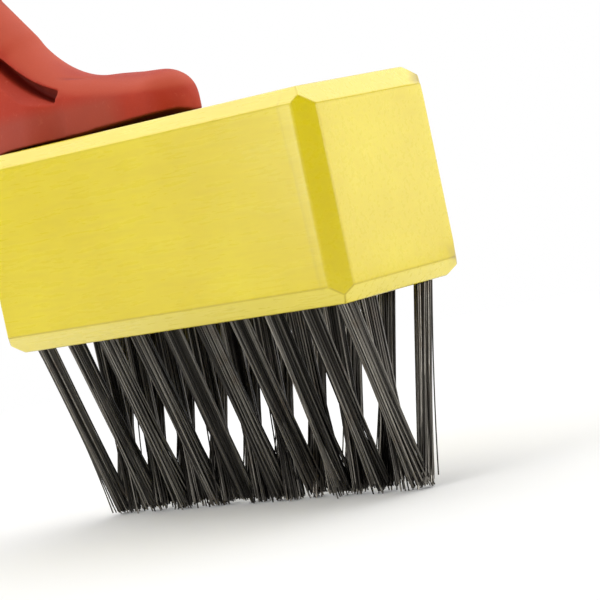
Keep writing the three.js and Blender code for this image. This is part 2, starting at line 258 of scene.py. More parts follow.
# Yellow lacquer over beech: long faint streaks, painted shade as darker lines where the faces turn, and
# painted light on the bevels
lacquer = {
    "deep": (0.66, 0.52, 0.001),
    "fresh": (0.72, 0.59, 0.004),
    "streak": (0.60, 0.45, 0.002),
    "thin": (0.84, 0.70, 0.085),   # painted light: paler on the bevels above and below, as bounce light below and sheen above
    # painted shade: colour of the dark lines along the turned edges and the sanded band
    "edge": (0.44, 0.33, 0.004),
    "bare": (0.40, 0.30, 0.09),
    "roughness": (0.24, 0.34),
    "bareRoughness": 0.3,          # added where the lacquer is chipped off
    "coat": 0.32,
    "coatRoughness": 0.13,
    "scales": (26.0, 620.0, 330.0),   # of the patches, grain and scuffs
    "stretch": (0.10, 1.0, 1.0),
    "streakRange": (0.50, 0.75),
    "streakShare": 0.35,
    "bevelFrom": (0.5, 0.6),       # a bevel leans more than an upright face
    "bevelTo": (0.8, 0.9),         # and less than a level one
    "bevelLean": 0.7,
    "bevelLightShares": (0.9, 0.25),    # share of painted light on the bevels below and above
    "edgeShadeShare": 0.55,
    "scuffHeight": 0.3,
    "bumpDepth": 0.00002,
}


def makeLacquer():
    material, tree, shader = newMaterial("yellow_lacquer")
    patches, grain, scuffs = addUnevenness(tree, lacquer["scales"], lacquer["stretch"])
    color = mixColor(tree, remap(tree, patches, *noiseRange), lacquer["deep"], lacquer["fresh"])
    streaks = remap(tree, grain, *lacquer["streakRange"], 0.0, lacquer["streakShare"])
    color = mixColor(tree, streaks, color, lacquer["streak"])
    facing = addNode(tree, "NewGeometry").outputs["Normal"]
    upward = addNode(tree, "SeparateXYZ", {"Vector": facing}).outputs["Z"]
    slope = mathNode(tree, "ABSOLUTE", upward)
    leaning = remap(tree, slope, *lacquer["bevelFrom"])
    bevels = times(tree, leaning, remap(tree, slope, *lacquer["bevelTo"], 1.0, 0.0))
    share = remap(tree, upward, -lacquer["bevelLean"], lacquer["bevelLean"], *lacquer["bevelLightShares"])
    # painted light: the bevels paler, most of all those facing down
    color = mixColor(tree, times(tree, bevels, share), color, lacquer["thin"])
    # painted shade: darker lines along the turned edges
    edges = times(tree, readMask(tree, "edgeShadeLine"), lacquer["edgeShadeShare"])
    color = mixColor(tree, edges, color, lacquer["edge"])
    chips = readMask(tree, "chipped")
    color = mixColor(tree, chips, color, lacquer["bare"])
    rough = remap(tree, grain, *noiseRange, *lacquer["roughness"])
    rough = mathNode(tree, "ADD", rough, times(tree, chips, lacquer["bareRoughness"]))
    shader.inputs["Coat Weight"].default_value = lacquer["coat"]
    shader.inputs["Coat Roughness"].default_value = lacquer["coatRoughness"]
    height = mathNode(tree, "ADD", grain, times(tree, scuffs, lacquer["scuffHeight"]))
    joinUp(tree, shader, color, rough, height, lacquer["bumpDepth"])
    return material


# Red moulded plastic with a fine spark-eroded skin and a few pale scuffs; painted highlight on the shoulders,
# painted sheen on the foot's wall, painted shade in the crease, under the foot and in the slot
plastic = {
    "deep": (0.35, 0.018, 0.001),
    "fresh": (0.41, 0.025, 0.002),
    # paler: the colour of real scuffs and of painted highlight on the shoulders
    "scuffAndHighlight": (0.55, 0.100, 0.045),
    # painted sheen: a greyer tone on the foot's upright side walls
    "sheenGrey": (0.26, 0.075, 0.048),
    # painted shade: darker in the fold's crease, under the foot and inside the slot
    "paintedShade": (0.13, 0.008, 0.002),
    "roughness": (0.64, 0.78),
    "specular": 0.4,
    "scales": (70.0, 2600.0, 420.0),
    "scuffShare": 0.35,
    "highlightShare": 0.46,
    "wallSheenShare": 0.35,
    "paintedShadeShare": 0.8,
    "patchHeight": 2.0,
    "bumpDepth": 0.00004,
}


def makePlastic():
    material, tree, shader = newMaterial("red_plastic")
    patches, grain, scuffs = addUnevenness(tree, plastic["scales"])
    color = mixColor(tree, remap(tree, patches, *noiseRange), plastic["deep"], plastic["fresh"])
    # painted highlight on the shoulders, joined with the real scuffs
    shoulderHighlight = times(tree, readMask(tree, "scuffAndHighlight"), plastic["highlightShare"])
    worn = mathNode(tree, "MAXIMUM", times(tree, scuffs, plastic["scuffShare"]), shoulderHighlight)
    color = mixColor(tree, worn, color, plastic["scuffAndHighlight"])
    # painted sheen on the foot's upright side walls
    wallSheen = times(tree, readMask(tree, "wallSheen"), plastic["wallSheenShare"])
    color = mixColor(tree, wallSheen, color, plastic["sheenGrey"])
    # painted shade in the crease, under the foot and in the slot
    shadeMask = times(tree, readMask(tree, "shadeMask"), plastic["paintedShadeShare"])
    color = mixColor(tree, shadeMask, color, plastic["paintedShade"])
    rough = remap(tree, grain, *noiseRange, *plastic["roughness"])
    shader.inputs["Specular IOR Level"].default_value = plastic["specular"]
    height = mathNode(tree, "ADD", grain, times(tree, patches, plastic["patchHeight"]))
    joinUp(tree, shader, color, rough, height, plastic["bumpDepth"])
    return material


# Oil-tempered wire: each wire has its own tone, some of them browner
steel = {
    "dark": (0.019, 0.0171, 0.0147),
    "light": (0.305, 0.284, 0.248),
    "brown": (0.130, 0.086, 0.058),
    "roughness": (0.28, 0.46),
    "metallic": 0.9,
    "scales": (160.0, 2400.0, 900.0),
    "stretch": (1.0, 1.0, 0.08),
    "brownRange": (0.52, 0.72),
    "brownShare": 0.6,
    "bumpDepth": 0.00002,
}


def makeWire():
    material, tree, shader = newMaterial("dark_wire")
    patches, grain, scuffs = addUnevenness(tree, steel["scales"], steel["stretch"])
    tone = readMask(tree, "wireTone")
    color = mixColor(tree, tone, steel["dark"], steel["light"])
    rust = remap(tree, patches, *steel["brownRange"], 0.0, steel["brownShare"])
    color = mixColor(tree, times(tree, rust, tone), color, steel["brown"])
    rough = remap(tree, grain, *noiseRange, *steel["roughness"])
    shader.inputs["Metallic"].default_value = steel["metallic"]
    joinUp(tree, shader, color, rough, mathNode(tree, "ADD", grain, scuffs), steel["bumpDepth"])
    return material


# Bright zinc on the screws and on the anchors inside the block
zinc = {
    "dull": (0.42, 0.43, 0.42),
    "bright": (0.66, 0.67, 0.66),
    "roughness": (0.24, 0.46),
    "metallic": 0.95,
    "scales": (420.0, 2200.0, 800.0),
    "patchRange": (0.35, 0.65),
    "scuffShare": 0.5,
    "bumpDepth": 0.00002,
}


def makeZinc():
    material, tree, shader = newMaterial("zinc_plate")
    patches, grain, scuffs = addUnevenness(tree, zinc["scales"])
    color = mixColor(tree, remap(tree, patches, *zinc["patchRange"]), zinc["dull"], zinc["bright"])
    color = mixColor(tree, times(tree, scuffs, zinc["scuffShare"]), color, zinc["dull"])
    rough = remap(tree, grain, *noiseRange, *zinc["roughness"])
    shader.inputs["Metallic"].default_value = zinc["metallic"]
    joinUp(tree, shader, color, rough, grain, zinc["bumpDepth"])
    return material


lacquerMaterial = makeLacquer()
plasticMaterial = makePlastic()
wireMaterial = makeWire()
zincMaterial = makeZinc()
print("materials: lacquer, plastic, wire, zinc")


# Tufts: three rows of wire, the outer two leaning in to meet at the floor
tufts = {
    "pitch": 15.0,
    "rowOffset": 18.0,
    "holeRadius": 3.3,
    "holeDepth": 22.0,
    "wiresPerTuft": 84,
    "wireRadius": 0.23,
    "packedRadius": 2.85,
    "packedTurn": 2.39996,  # from each wire of a tuft to the next, so that they pack evenly
    "sunk": 12.0,          # how far up inside its hole a wire starts to be modelled
    "waist": 0.07,         # a tuft draws in a little half-way down
    "spread": 1.08,        # tuft width at the tips against its width at the block
    "leanScatter": (0.7, 0.6),   # of a whole tuft, along the row and across it
    "tipScatter": 0.75,
    "tipEase": 2.2,        # the wires part late on their way down
    "bow": 0.14,
    "raggedness": 1.5,     # unevenness of the cut ends
    "shortest": 0.3,
    "wear": 1.1,           # some tufts are worn shorter than others
    "longShare": 0.05,     # wires that reach right down to the floor
    "longCut": 0.3,
    "looseShare": 0.035,   # wires that have come away from their tuft
    "looseReach": 4.5,
    "looseLeast": 0.5,
    "looseEase": (1.0, 1.6),
    "tonePower": 2.4,      # most wires are dark
    "rings": 11,
    "sides": 6,
}
rows = [
    # drift: how far the tips of the first and last tuft have been pushed along the row
    {"name": "front", "y": -tufts["rowOffset"], "count": 10, "seed": 17, "drift": (3.2, -0.9)},
    {"name": "middle", "y": 0.0, "count": 9, "seed": 12, "drift": (1.8, -0.3)},
    {"name": "back", "y": tufts["rowOffset"], "count": 10, "seed": 13, "drift": (1.0, 0.5)},
]


def rowStations(row):
    return [(i - (row["count"] - 1) / 2) * tufts["pitch"] for i in range(row["count"])]


# Unit vector down the tufts of a row, from the block to the floor
def tuftAxis(row):
    return Vector((0, -row["y"] * mm, -underside)).normalized()


# One tuft's wires as lists of points, in millimetres from the tuft's place on the underside
def tuftWires(row, drift, draw):
    trim = underside / mm
    start = -tufts["sunk"] / trim
    along, across = tufts["leanScatter"]
    lean = Vector((drift + draw.gauss(0, along), -row["y"] + draw.gauss(0, across), -trim))
    twist = draw.uniform(0, math.tau)
    worn = tufts["shortest"] + abs(draw.gauss(0, tufts["wear"]))
    for i in range(tufts["wiresPerTuft"]):
        turn = i * tufts["packedTurn"] + twist
        reach = tufts["packedRadius"] * math.sqrt((i + 0.5) / tufts["wiresPerTuft"])
        place = Vector((reach * math.cos(turn), reach * math.sin(turn), 0))
        scatter = Vector((draw.gauss(0, tufts["tipScatter"]), draw.gauss(0, tufts["tipScatter"]), 0))
        fan = place * (tufts["spread"] - 1) + scatter
        bow = Vector((draw.gauss(0, tufts["bow"]), draw.gauss(0, tufts["bow"]), 0))
        bend = bow - place * tufts["waist"]
        ease = tufts["tipEase"]
        if draw.random() < tufts["looseShare"]:
            ease = draw.uniform(*tufts["looseEase"])
            turn = draw.uniform(0, math.tau)
            away = Vector((math.cos(turn), math.sin(turn), 0))
            fan += away * tufts["looseReach"] * draw.uniform(tufts["looseLeast"], 1)
        cut = abs(draw.gauss(0, tufts["raggedness"])) + worn
        if draw.random() < tufts["longShare"]:
            cut = draw.uniform(0, tufts["longCut"])
        end = 1 - cut / trim
        line = []
        for k in range(tufts["rings"]):
            share = start + (end - start) * k / (tufts["rings"] - 1)
            out = max(share, 0)
            line.append(place + lean * share + fan * out ** ease + bend * (4 * out * (1 - out)))
        yield line, draw.random()


def makeRow(row):
    draw = random.Random(row["seed"])
    sides, rings = tufts["sides"], tufts["rings"]
    circle = [(math.cos(math.tau * k / sides), math.sin(math.tau * k / sides)) for k in range(sides)]
    points, faces, tones = [], [], []
    drifts = np.linspace(*row["drift"], row["count"])
    for x, drift in zip(rowStations(row), drifts):
        foot = Vector((blockMiddle, 0, underside)) / mm + Vector((x, row["y"], 0))
        for line, tone in tuftWires(row, float(drift), draw):
            base = len(points)
            for middle in line:
                for c, s in circle:
                    offset = Vector((c, s, 0)) * tufts["wireRadius"]
                    points.append((foot + middle + offset) * mm)
                    tones.append(tone ** tufts["tonePower"])
            for r in range(rings - 1):
                for k in range(sides):
                    a, b = base + r * sides + k, base + r * sides + (k + 1) % sides
                    faces.append((a, a + sides, b + sides, b))
            faces.append(tuple(base + k for k in range(sides)))
            last = base + (rings - 1) * sides
            faces.append(tuple(last + sides - 1 - k for k in range(sides)))
    piece = newPiece(row["name"] + "_wires", points, faces)
    setMask(piece, "wireTone", tones)
    shadeSmooth(piece, degrees=50)
    piece.data.materials.append(wireMaterial)
    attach(piece, "root")
    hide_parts(row["name"] + "_tufts")


for row in rows:
    makeRow(row)
print("tufts:", sum(row["count"] for row in rows), "of", tufts["wiresPerTuft"], "wires")


# Block: every edge planed off at 45 degrees by hand, so the chamfers differ a little
block = {
    "upright": 5.5,
    "frontTop": 4.8,
    "frontBottom": 5.9,
    "endTop": 6.2,
    "endBottom": 5.2,
    "back": 5.5,
    "softness": 0.5,       # radius-like width of the rounding on each edge
    "softSteps": 3,
    "meshStep": 5.0,
    "unevenness": 0.05,
    "unevenScale": 45.0,
    "unevenSeed": 5,       # not 0, which takes the clock instead
    "flatUnderside": 2.0,  # height up to which the drilled underside stays flat
    "frontMargin": 0.4,
    "sandedTop": 5.0,      # width of the sanded band beside the front corner, at the top
    "sandedBottom": 2.6,
    "sandedDepth": 0.16,
    "sandedSplit": 1.1,    # mesh lines on both sides of the band's limit
    "sandedMargin": 0.1,
    "sandedShadeLine": 0.45,
    "lineWidth": 0.3,
    "topLine": 0.45,       # the lines of painted shade are fainter at the top
    "steep": 0.9,          # edges that rise more than this share of their length have no line
    "nicks": [((77, 24.5, 59.5), (74.5, 26.5, 62.5)), ((77.5, 24, 5.2), (77.2, 25, 3))],
    "nickSize": 0.9,
    "nickDepth": 0.5,
    "drillSides": 24,
    "screwAlong": -66.0,
    "screwAside": 9.0,
    "passage": [(3.8, -5.0), (3.8, 23.3), (2.55, 23.3), (2.55, 80.0)],   # radius and height
}


def slicePlane(bm, point, normal, clear):
    geometry = bm.verts[:] + bm.edges[:] + bm.faces[:]
    cut = bmesh.ops.bisect_plane(
        bm, geom=geometry, plane_co=point, plane_no=normal, clear_outer=clear, dist=1e-7,
    )
    if clear:
        rim = [e for e in cut["geom_cut"] if isinstance(e, bmesh.types.BMEdge)]
        bmesh.ops.contextual_create(bm, geom=rim)


def drillTools():
    bm = bmesh.new()
    length = tufts["holeDepth"] * 2 * mm
    radius = tufts["holeRadius"] * mm
    for row in rows:
        tilt = (-tuftAxis(row)).to_track_quat("Z", "Y").to_matrix().to_4x4()
        for x in rowStations(row):
            place = Matrix.Translation((blockMiddle + x * mm, row["y"] * mm, underside)) @ tilt
            bmesh.ops.create_cone(
                bm, cap_ends=True, segments=block["drillSides"], radius1=radius, radius2=radius,
                depth=length, matrix=place,
            )
    return pieceFrom("drill", bm)


# The counterbore and clearance hole of one screw
def screwPassage(side):
    foot = Vector((blockMiddle + block["screwAlong"] * mm, side * block["screwAside"] * mm, underside))
    return steppedBar("passage", foot, block["passage"])


# Distance of each point from a straight edge
def awayFrom(points, begin, finish):
    span = finish - begin
    share = np.clip((points - begin) @ span / (span @ span), 0, 1)
    return np.linalg.norm(points - begin - share[:, None] * span, axis=1)


def makeBlock():
    half = (blockHigh - blockLow) / 2
    centre = (blockHigh + blockLow) / 2
    bm = bmesh.new()
    bmesh.ops.create_cube(bm, size=2, matrix=Matrix.Translation(centre) @ Matrix.Diagonal((*half, 1)))
    chamfers = [((sx, sy, 0), block["upright"]) for sx in (-1, 1) for sy in (-1, 1)]
    chamfers += [((0, -1, 1), block["frontTop"]), ((0, -1, -1), block["frontBottom"])]
    chamfers += [((1, 0, 1), block["endTop"]), ((1, 0, -1), block["endBottom"])]
    chamfers += [((0, 1, sz), block["back"]) for sz in (-1, 1)]
    chamfers += [((-1, 0, sz), block["back"]) for sz in (-1, 1)]
    for signs, leg in chamfers:
        outward = Vector(signs).normalized()
        reach = sum(abs(s) * h for s, h in zip(signs, half)) - leg * mm
        slicePlane(bm, centre + outward * (reach / math.sqrt(2)), outward, True)
    bmesh.ops.recalc_face_normals(bm, faces=bm.faces[:])
    corners = np.array([[v.co[:] for v in e.verts] for e in bm.edges])
    bmesh.ops.bevel(
        bm, geom=bm.edges[:], offset=block["softness"] * mm, segments=block["softSteps"],
        profile=0.5, affect="EDGES",
    )
    step = block["meshStep"] * mm
    for axis in range(3):
        normal = Vector((0, 0, 0))
        normal[axis] = 1
        count = int(2 * half[axis] / step)
        for i in range(1, count + 1):
            at = centre.copy()
            at[axis] = blockLow[axis] + 2 * half[axis] * i / (count + 1)
            slicePlane(bm, at, normal, False)
    # the inner limit of the sanded band on the front face
    edge = blockHigh.x - block["upright"] * mm
    top = Vector((edge - block["sandedTop"] * mm, 0, blockHigh.z))
    foot = Vector((edge - block["sandedBottom"] * mm, 0, blockLow.z))
    across = (top - foot).cross(Vector((0, 1, 0))).normalized()
    for shift in (-block["sandedSplit"], 0, block["sandedSplit"]):
        slicePlane(bm, top + Vector((shift * mm, 0, 0)), across, False)
    piece = pieceFrom("wood_block", bm)
    for tool in (drillTools(), screwPassage(-1), screwPassage(1)):
        combine(piece, tool, "DIFFERENCE")

    points = readPoints(piece)
    limit = foot.x + (points[:, 2] - foot.z) * (top.x - foot.x) / (top.z - foot.z)
    onFront = points[:, 1] < blockLow.y + block["frontMargin"] * mm
    onLimit = np.abs(points[:, 0] - limit) < block["sandedMargin"] * mm
    # painted shade: a darker line along the sanded band's inner limit
    lines = block["sandedShadeLine"] * onFront * onLimit
    points[:, 1] += ramp(points[:, 0], limit, edge) * onFront * block["sandedDepth"] * mm
    noise.seed_set(block["unevenSeed"])
    for i, point in enumerate(points):
        if point[2] > underside + block["flatUnderside"] * mm:
            wave = noise.noise_vector(Vector(point) * block["unevenScale"]) * block["unevenness"] * mm
            points[i] = point + np.abs(wave) * np.sign(np.array(centre) - point)

    # Painted shade: fine dark lines where the faces turn; the upright edges only catch the light
    for begin, finish in corners:
        if abs(finish[2] - begin[2]) < block["steep"] * np.linalg.norm(finish - begin):
            strength = block["topLine"] if begin[2] > centre.z else 1
            near = awayFrom(points, begin, finish) < block["lineWidth"] * mm
            lines = np.maximum(lines, strength * near)
    chips = np.zeros(len(points))
    origin = np.array((blockMiddle, 0, underside))
    for begin, finish in block["nicks"]:
        away = awayFrom(points, origin + np.array(begin) * mm, origin + np.array(finish) * mm)
        chips = np.maximum(chips, bell(away, 0, block["nickSize"] * mm))
    inward = np.array(centre) - points
    inward /= np.linalg.norm(inward, axis=1)[:, None]
    points += inward * chips[:, None] * block["nickDepth"] * mm
    writePoints(piece, points)
    setMask(piece, "edgeShadeLine", lines)
    setMask(piece, "chipped", chips)
    shadeSmooth(piece, degrees=35)
    piece.modifiers.new("flat faces", "WEIGHTED_NORMAL").keep_sharp = True
    piece.data.materials.clear()
    piece.data.materials.append(lacquerMaterial)
    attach(piece, "root")
    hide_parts("block")


makeBlock()
print("block: chamfered, drilled, sanded")


# Bracket: a foot with a round toe that sweeps up into a leaning neck, hollowed beside the crest
bracket = {
    "footHeight": 18.0,
    "footSlope": 4.5,
    "toeRadius": 11.0,
    "toeCentre": -7.0,
    "toeNose": 10.0,
    "toeTip": 0.15,        # turn at which the toe's rings begin
    "lowerRounding": 0.5,
    "flareStart": -43.0,
    "flareEnd": -58.5,
    "heelEnd": -73.2,
    "heelHalfWidth": 18.0,
    "heelCorner": 1.6,
    "heelDraft": 8.0,
    "heelSink": -1.0,
    "neckAngle": 47.0,
    "crestRadius": 51.0,
    "crestStart": -28.7,
    "neckLength": 40.0,
    "neckThickness": 27.0,
    "neckShoulder": 0.45,
    "shoulderRun": 6.0,
    "neckHalfWidth": 10.0,
    "crestRounding": 8.0,
    "crownShare": 0.7,     # the most of the foot's height that its rounding takes up
    "collarLength": 7.0,
    "collarLip": 1.6,
    "pocketStart": 15.0,
    "pocketEndWall": 6.0,
    "beamRoot": 4.3,
    "beamEnd": 8.8,
    "slotWidth": 4.0,
    "slotUndercut": 2.0,
    "ledgeSlope": 22.0,
    "webThickness": 3.0,
    "tangLength": 48.0,
    "tangWidth": 18.0,
    "tangThickness": 15.0,
    "tangTaper": 0.8,
    "tangChamfer": 3.0,
    "tangRounding": 1.2,
    "catchDistance": 20.0,
    "catchLength": 9.0,
    "catchHeight": 2.4,
    "catchWidth": 9.0,
    "pilot": [(2.55, -4.0), (2.55, 9.3), (0.3, 15.3)],   # radius and height of a screw's hole
    "archPoints": 41,
    "cornerPoints": 5,
    "toeRings": 20,
    "footRings": 8,
    "sweepRings": 28,
    "neckRings": 20,
    "pocketRings": 36,
    "flarePoints": 24,
    "heelPoints": 8,
    "voxel": 0.45,
    "smoothing": 5,
    "smoothShare": 0.5,
    "foldStart": -22.0,    # a soft fold where the neck rises out of the foot's shoulders
    "foldEnd": -48.0,
    "foldFades": (4.0, 14.0),
    "foldLevel": (9.0, 13.0),
    "foldReach": (2.2, 7.2),
    "foldCurve": 1.4,
    "foldHeight": 0.7,
    "foldRaise": 0.8,      # how much of the fold's height goes upward as well as outward
    "foldWidth": 4.5,
    "foldEdge": (-0.5, 0.5),
    "foldRise": (0, 1 / 3),
    "foldGroove": 0.55,
    "groovePlace": (-0.7, 0.8),   # middle and width, off the fold's edge
    "toeDip": 0.45,
    "dipAlong": (-24.0, -14.0),
    "dipLevel": (9.0, 14.0),
    "edgeLift": 0.75,      # the foot's lower edge stands off the block
    "toeLift": 1.7,        # and the toe more so, most of all on its near side
    "farLift": 0.35,
    "liftAlong": (-66.0, 3.0),
    "liftAside": (5.0, -5.0),
    "liftLevel": (6.0, 0.0),
    "rimAlong": (-72.0, -67.0),
    "rimAside": (6.0, 9.0),
}
footTilt = math.radians(bracket["footSlope"])
neckTilt = math.radians(bracket["neckAngle"])
sweepLength = bracket["crestRadius"] * (neckTilt - footTilt)
neckRun = sweepLength + bracket["neckLength"]
crestMiddle = (
    bracket["crestStart"] + bracket["crestRadius"] * math.sin(footTilt),
    bracket["footHeight"] + bracket["crestRadius"] * math.cos(footTilt),
)


# From millimetres off the block's middle and above its top to the row frame
def onBlock(x, y, z):
    return Vector((blockMiddle + x * mm, y * mm, blockTop + z * mm))


# The crest's side view: a point along it, and the way out of it there
def crestAt(along):
    radius = bracket["crestRadius"]
    turn = min(footTilt + along / radius, neckTilt)
    straight = max(0, along - sweepLength)
    out = (math.sin(turn), math.cos(turn))
    x = crestMiddle[0] - radius * out[0] - straight * math.cos(turn)
    z = crestMiddle[1] - radius * out[1] + straight * math.sin(turn)
    return x, z, out


def ringAcross(along, places):
    x, z, out = crestAt(along)
    return [onBlock(x + out[0] * outward, sideways, z + out[1] * outward) for sideways, outward in places]


# An arch-topped section: sideways, and up from its crown
def archSection(halfWidth, height, crown, underRounding):
    section = [
        (halfWidth * math.cos(turn), crown * (math.sin(turn) - 1))
        for turn in np.linspace(0, math.pi, bracket["archPoints"])
    ]
    radius = min(underRounding, halfWidth / 2)
    corner = [
        (halfWidth - radius * (1 - math.cos(turn)), radius * (1 - math.sin(turn)) - height)
        for turn in np.linspace(0, math.pi / 2, bracket["cornerPoints"])
    ]
    section += [(-x, z) for x, z in corner]
    section += corner[::-1]
    return section


def footRing(x):
    past = max(0, x - bracket["toeCentre"])
    toHeel = max(0, (bracket["toeCentre"] - x) / (bracket["toeCentre"] - bracket["crestStart"]))
    halfWidth = math.sqrt(bracket["toeRadius"] ** 2 - past ** 2)
    halfWidth += (bracket["neckHalfWidth"] - halfWidth) * toHeel
    noseRun = max(0, x - (bracket["toeCentre"] + bracket["toeRadius"] - bracket["toeNose"]))
    nose = bracket["toeNose"] - math.sqrt(bracket["toeNose"] ** 2 - noseRun ** 2)
    height = bracket["footHeight"] - (x - bracket["crestStart"]) * math.tan(footTilt) - nose
    crown = min(bracket["crestRounding"], bracket["crownShare"] * height)
    section = archSection(halfWidth, height, crown, bracket["lowerRounding"])
    return [onBlock(x, sideways, height + up) for sideways, up in section]


def neckRing(along, thickness, lip):
    section = archSection(
        bracket["neckHalfWidth"] + lip, thickness + 2 * lip,
        bracket["crestRounding"] + lip, bracket["lowerRounding"] + lip,
    )
    return ringAcross(along, [(sideways, up + lip) for sideways, up in section])


# The chamfered tang, with as many points to a ring as the neck has
def tangRing(distance, share):
    w, t = bracket["tangWidth"] / 2 * share, bracket["tangThickness"] / 2 * share
    corner = w + t - bracket["tangChamfer"] * share
    middle = -bracket["neckThickness"] / 2
    places = []
    for x, z in archSection(
        bracket["neckHalfWidth"], bracket["neckThickness"], bracket["crestRounding"], bracket["tangRounding"],
    ):
        away = Vector((x, z - middle))
        reach = max(abs(away.x) / w, abs(away.y) / t, (abs(away.x) + abs(away.y)) / corner)
        places.append((away.x / reach, middle + away.y / reach))
    return ringAcross(neckRun + distance, places)


def spine():
    toe = [
        bracket["toeCentre"] + bracket["toeRadius"] * math.cos(turn)
        for turn in np.linspace(bracket["toeTip"], math.pi / 2, bracket["toeRings"])
    ]
    foot = list(np.linspace(bracket["toeCentre"], bracket["crestStart"], bracket["footRings"])[1:-1])
    rings = [footRing(x) for x in toe + foot]
    for share in np.linspace(0, 1, bracket["sweepRings"]):
        thickness = bracket["footHeight"] + (bracket["neckThickness"] - bracket["footHeight"]) * share
        rings.append(neckRing(share * sweepLength, thickness, 0))
    collarStart = neckRun - 2 * bracket["collarLength"]
    for along in np.linspace(sweepLength, collarStart, bracket["neckRings"])[1:]:
        rise = min(1, (along - sweepLength) / bracket["shoulderRun"])
        swell = bracket["neckShoulder"] * rise * rise * (3 - 2 * rise)
        rings.append(neckRing(along, bracket["neckThickness"], swell))
    lip = bracket["neckShoulder"] + bracket["collarLip"]
    for back in (bracket["collarLength"], 0):
        rings.append(neckRing(neckRun - back, bracket["neckThickness"], lip))
    long, taper = bracket["tangLength"], bracket["tangTaper"]
    rings += [tangRing(0, 1), tangRing(long - bracket["tangChamfer"], taper), tangRing(long, taper * taper)]
    return loft("spine", rings)


def beamAt(along):
    return bracket["beamRoot"] + (bracket["beamEnd"] - bracket["beamRoot"]) * along / neckRun


def pocketStations(begin):
    end = neckRun - 2 * bracket["collarLength"] - bracket["pocketEndWall"]
    return np.linspace(begin, end, bracket["pocketRings"])


# Half of the heel's plan at a height, from where it leaves the foot round to its end
def heelPlan(height):
    narrow = bracket["neckHalfWidth"]
    half = bracket["heelHalfWidth"] - height * math.tan(math.radians(bracket["heelDraft"]))
    start, end, back = bracket["flareStart"], bracket["flareEnd"], bracket["heelEnd"]
    plan = []
    for t in np.linspace(0, 1, bracket["flarePoints"]):
        ease = t * t * (3 - 2 * t)
        plan.append((start + (end - start) * t, narrow + (half - narrow) * ease))
    for turn in np.linspace(0, math.pi / 2, bracket["heelPoints"])[1:]:
        aside = half - bracket["heelCorner"] * (1 - math.cos(turn))
        plan.append((end + (back - end) * math.sin(turn), aside))
    return plan


def heel():
    depth = 2 * bracket["footHeight"]
    rings = []
    for height in (bracket["heelSink"], depth):
        plan = heelPlan(height)
        outline = plan + [(x, -y) for x, y in reversed(plan)]
        rings.append([onBlock(x, y, height) for x, y in outline])
    piece = loft("heel", rings)
    wide = bracket["heelHalfWidth"] + bracket["heelCorner"]
    above = []
    for along in pocketStations(0):
        low = -beamAt(along) - bracket["slotWidth"] / 2
        above.append(ringAcross(along, [(wide, depth), (-wide, depth), (-wide, low), (wide, low)]))
    combine(piece, loft("above", above), "DIFFERENCE")
    return piece


# The hollow on one side of the neck: a deep slot under the crest, and outside it a ledge that falls away
def pocket(side):
    web, mouth = bracket["webThickness"] / 2, bracket["neckHalfWidth"]
    wide = bracket["heelHalfWidth"] + bracket["heelCorner"]
    fall = (wide - mouth) * math.tan(math.radians(bracket["ledgeSlope"]))
    rings = []
    for along in pocketStations(bracket["pocketStart"]):
        roof = -beamAt(along)
        floor = roof - bracket["slotWidth"]
        rings.append(ringAcross(along, [
            (side * wide, roof), (side * web, roof), (side * web, floor - bracket["slotUndercut"]),
            (side * mouth, floor), (side * wide, floor - fall),
        ]))
    return loft("pocket", rings)


def handleCatch():
    half = bracket["catchWidth"] / 2
    rings = []
    for distance, height in (
        (bracket["catchDistance"], bracket["catchHeight"]),
        (bracket["catchDistance"] + bracket["catchLength"], 0),
    ):
        share = 1 + (bracket["tangTaper"] - 1) * distance / bracket["tangLength"]
        face = (bracket["tangThickness"] * share - bracket["neckThickness"]) / 2
        low, high = face - bracket["tangChamfer"], face + height
        rings.append(ringAcross(neckRun + distance, [(half, high), (-half, high), (-half, low), (half, low)]))
    return loft("catch", rings)


def pilot(side):
    foot = onBlock(block["screwAlong"], side * block["screwAside"], 0)
    return steppedBar("pilot", foot, bracket["pilot"])


def belowBlockTop():
    far = 200
    square = ((-far, -far), (far, -far), (far, far), (-far, far))
    return loft("below", [[onBlock(x, y, z) for x, y in square] for z in (-far, 0)])


# Where the bracket gets painted highlight, painted sheen and painted shade: from and to, in millimetres or as
# parts of a direction
marks = {
    "shoulder": (0.76, 0.65),   # level and upward parts of the way a shoulder with painted highlight faces
    "highlightSlope": (0.88, 0.99),
    "highlightLevel": (6.0, 10.0),
    "highlightBelow": (8.0, 6.0),
    "wallSheenSlope": (0.45, 0.85),
    "wallSheenLevel": (13.0, 9.0),
    "wallSheenAlong": (-14.0, -24.0),
    "creasePlace": (-0.4, 0.6),
    "underSlope": (0.0, -0.5),
    "underLevel": 5.0,
    "slotAside": (8.5, 5.5),
    "slotBelow": (4.0, 4.6),
    "slotFloor": 13.0,
    "slotAlong": (-82.0, -74.0),
    "slotShare": 0.5,
}


